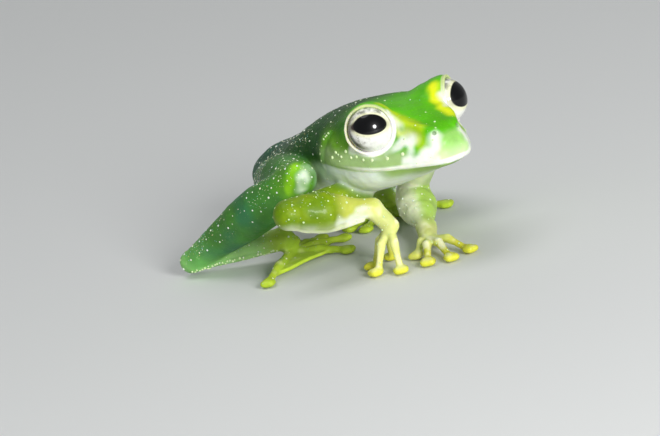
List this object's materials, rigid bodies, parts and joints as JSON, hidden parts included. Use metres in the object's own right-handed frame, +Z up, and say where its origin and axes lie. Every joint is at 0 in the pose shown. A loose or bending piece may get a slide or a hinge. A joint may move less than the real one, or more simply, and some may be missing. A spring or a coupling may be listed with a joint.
{
  "type": "glass frog",
  "caption": "Small green glass frog, life size, crouched on a flat floor with its hands planted under its chin and its hind legs folded.",
  "frame": {"origin": "on the floor, under the middle of the whole frog's footprint", "axes": "+X the way the head faces, +Y to the frog's left, +Z up"},
  "size_m": [0.0246, 0.018, 0.011],
  "materials": {
    "head_skin": "moist, finely grained skin, grass green with a pale lip",
    "body_skin": "moist, translucent blue-green skin with fine white flecks",
    "arm_skin": "moist, translucent olive-yellow skin with pale dots",
    "leg_skin": "moist, translucent teal-green skin with white dots",
    "digit_skin": "moist, translucent yellow skin and webbing",
    "eye": "silver-white iris with a black pupil under a clear glossy cornea"
  },
  "bodies": {
    "root": {"head": "head_skin", "torso": "body_skin", "eye_right": "eye", "eye_left": "eye", "thigh_right": "leg_skin", "shank_right": "leg_skin", "tarsus_right": "leg_skin", "foot_right": "digit_skin", "upper_arm_right": "arm_skin", "forearm_right": "arm_skin", "hand_right": "digit_skin", "thigh_left": "leg_skin", "shank_left": "leg_skin", "tarsus_left": "leg_skin", "foot_left": "digit_skin", "upper_arm_left": "arm_skin", "forearm_left": "arm_skin", "hand_left": "digit_skin"}
  },
  "joints": []
}
